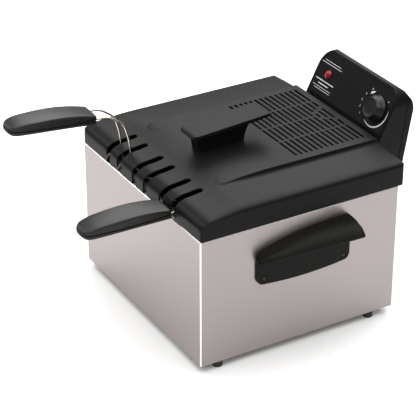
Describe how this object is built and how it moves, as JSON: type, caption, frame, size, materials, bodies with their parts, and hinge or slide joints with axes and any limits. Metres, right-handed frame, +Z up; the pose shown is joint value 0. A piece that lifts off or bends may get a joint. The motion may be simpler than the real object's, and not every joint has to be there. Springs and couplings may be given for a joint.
{
  "type": "deep fryer",
  "caption": "Countertop deep fryer: rectangular steel housing, vented lid, lift-out wire baskets with long grips, and a leaning rear control head with an immersion element.",
  "frame": {"origin": "centre of the bounding box in plan, on the surface under the feet", "axes": "+Z up, +Y to the rear where the control head stands, -Y to the front where the basket grips point, +X to the user's right"},
  "size_m": [0.4126, 0.5418, 0.3077],
  "materials": {
    "brushed_steel": "brushed, low sheen, slightly warm grey",
    "bare_steel": "plain rolled, satin",
    "screw_steel": "zinc plated",
    "dark_screw": "blackened steel, satin",
    "nickel_wire": "nickel plated, bright",
    "dark_enamel": "dark non-stick enamel, satin",
    "lid_plastic": "charcoal, satin with a fine texture",
    "black_plastic": "moulded, satin",
    "panel_gloss": "gloss",
    "rubber": "matt",
    "filter_foam": "fibrous charcoal filter pad",
    "red_lens": "clear moulded, gloss",
    "reset_red": "gloss",
    "lamp_glass": "clear",
    "element_steel": "heat darkened",
    "phenolic": "moulded, matt",
    "inlet_brass": "bright"
  },
  "bodies": {
    "cabinet": {"outer_housing": "brushed_steel", "base_plate": "bare_steel", "foot_front_left": "rubber", "foot_front_right": "rubber", "foot_rear_left": "rubber", "foot_rear_right": "rubber", "oil_pot": "dark_enamel", "right_side_handle": "black_plastic", "right_side_handle_screw_front": "dark_screw", "right_side_handle_screw_rear": "dark_screw", "left_side_handle": "black_plastic", "left_side_handle_screw_front": "dark_screw", "left_side_handle_screw_rear": "dark_screw"},
    "lid": {"lid": "lid_plastic", "lid_handle": "lid_plastic", "vent_filter": "filter_foam", "filter_retainer": "black_plastic", "lid_handle_screw_1": "screw_steel", "lid_handle_screw_2": "screw_steel"},
    "left_basket": {"left_basket_mesh": "nickel_wire", "left_basket_rim": "nickel_wire", "left_basket_handle_wire": "nickel_wire", "left_basket_hooks": "nickel_wire", "left_grip_top": "black_plastic", "left_grip_bottom": "black_plastic", "left_grip_screw": "screw_steel"},
    "right_basket": {"right_basket_mesh": "nickel_wire", "right_basket_rim": "nickel_wire", "right_basket_handle_wire": "nickel_wire", "right_basket_hooks": "nickel_wire", "right_grip_top": "black_plastic", "right_grip_bottom": "black_plastic", "right_grip_screw": "screw_steel"},
    "control_head": {"control_housing": "black_plastic", "control_rear_cover": "black_plastic", "rear_cover_screw_1": "screw_steel", "rear_cover_screw_2": "screw_steel", "rear_cover_screw_3": "screw_steel", "rear_cover_screw_4": "screw_steel", "power_inlet": "black_plastic", "inlet_pin_left": "inlet_brass", "inlet_pin_right": "inlet_brass", "thermal_cutout": "phenolic", "control_panel": "panel_gloss", "signal_lens": "red_lens", "signal_lamp": "lamp_glass", "thermostat_body": "phenolic", "terminal_block": "phenolic", "heating_element": "element_steel", "element_bracket": "bare_steel", "element_front_clip": "bare_steel", "thermostat_bulb": "bare_steel"},
    "knob": {"thermostat_knob": "black_plastic", "knob_shaft": "bare_steel"},
    "reset_button": {"reset_button": "reset_red"}
  },
  "joints": [
    {"name": "lid_lift", "type": "slide", "parent": "cabinet", "child": "lid", "axis": [0, 0, 1], "range_m": [0, 0.15]},
    {"name": "right_basket_lift", "type": "slide", "parent": "cabinet", "child": "right_basket", "axis": [0, -0.1843, 0.9829], "range_m": [0, 0.081]},
    {"name": "left_basket_unhook", "type": "slide", "parent": "cabinet", "child": "left_basket", "axis": [0, 0.7071, 0.7071], "range_m": [0, 0.024]},
    {"name": "control_head_lift", "type": "slide", "parent": "cabinet", "child": "control_head", "axis": [0, 0, 1], "range_m": [0, 0.008]},
    {"name": "thermostat_knob_turn", "type": "hinge", "parent": "control_head", "child": "knob", "pos_m": [0.0605, 0.22719, 0.26441], "axis": [0, 0.891, -0.454], "range_deg": [0, 326]},
    {"name": "reset_button_press", "type": "slide", "parent": "control_head", "child": "reset_button", "axis": [0, -1, 0], "range_m": [0, 0.003], "stiffness_N_per_m": 250}
  ]
}
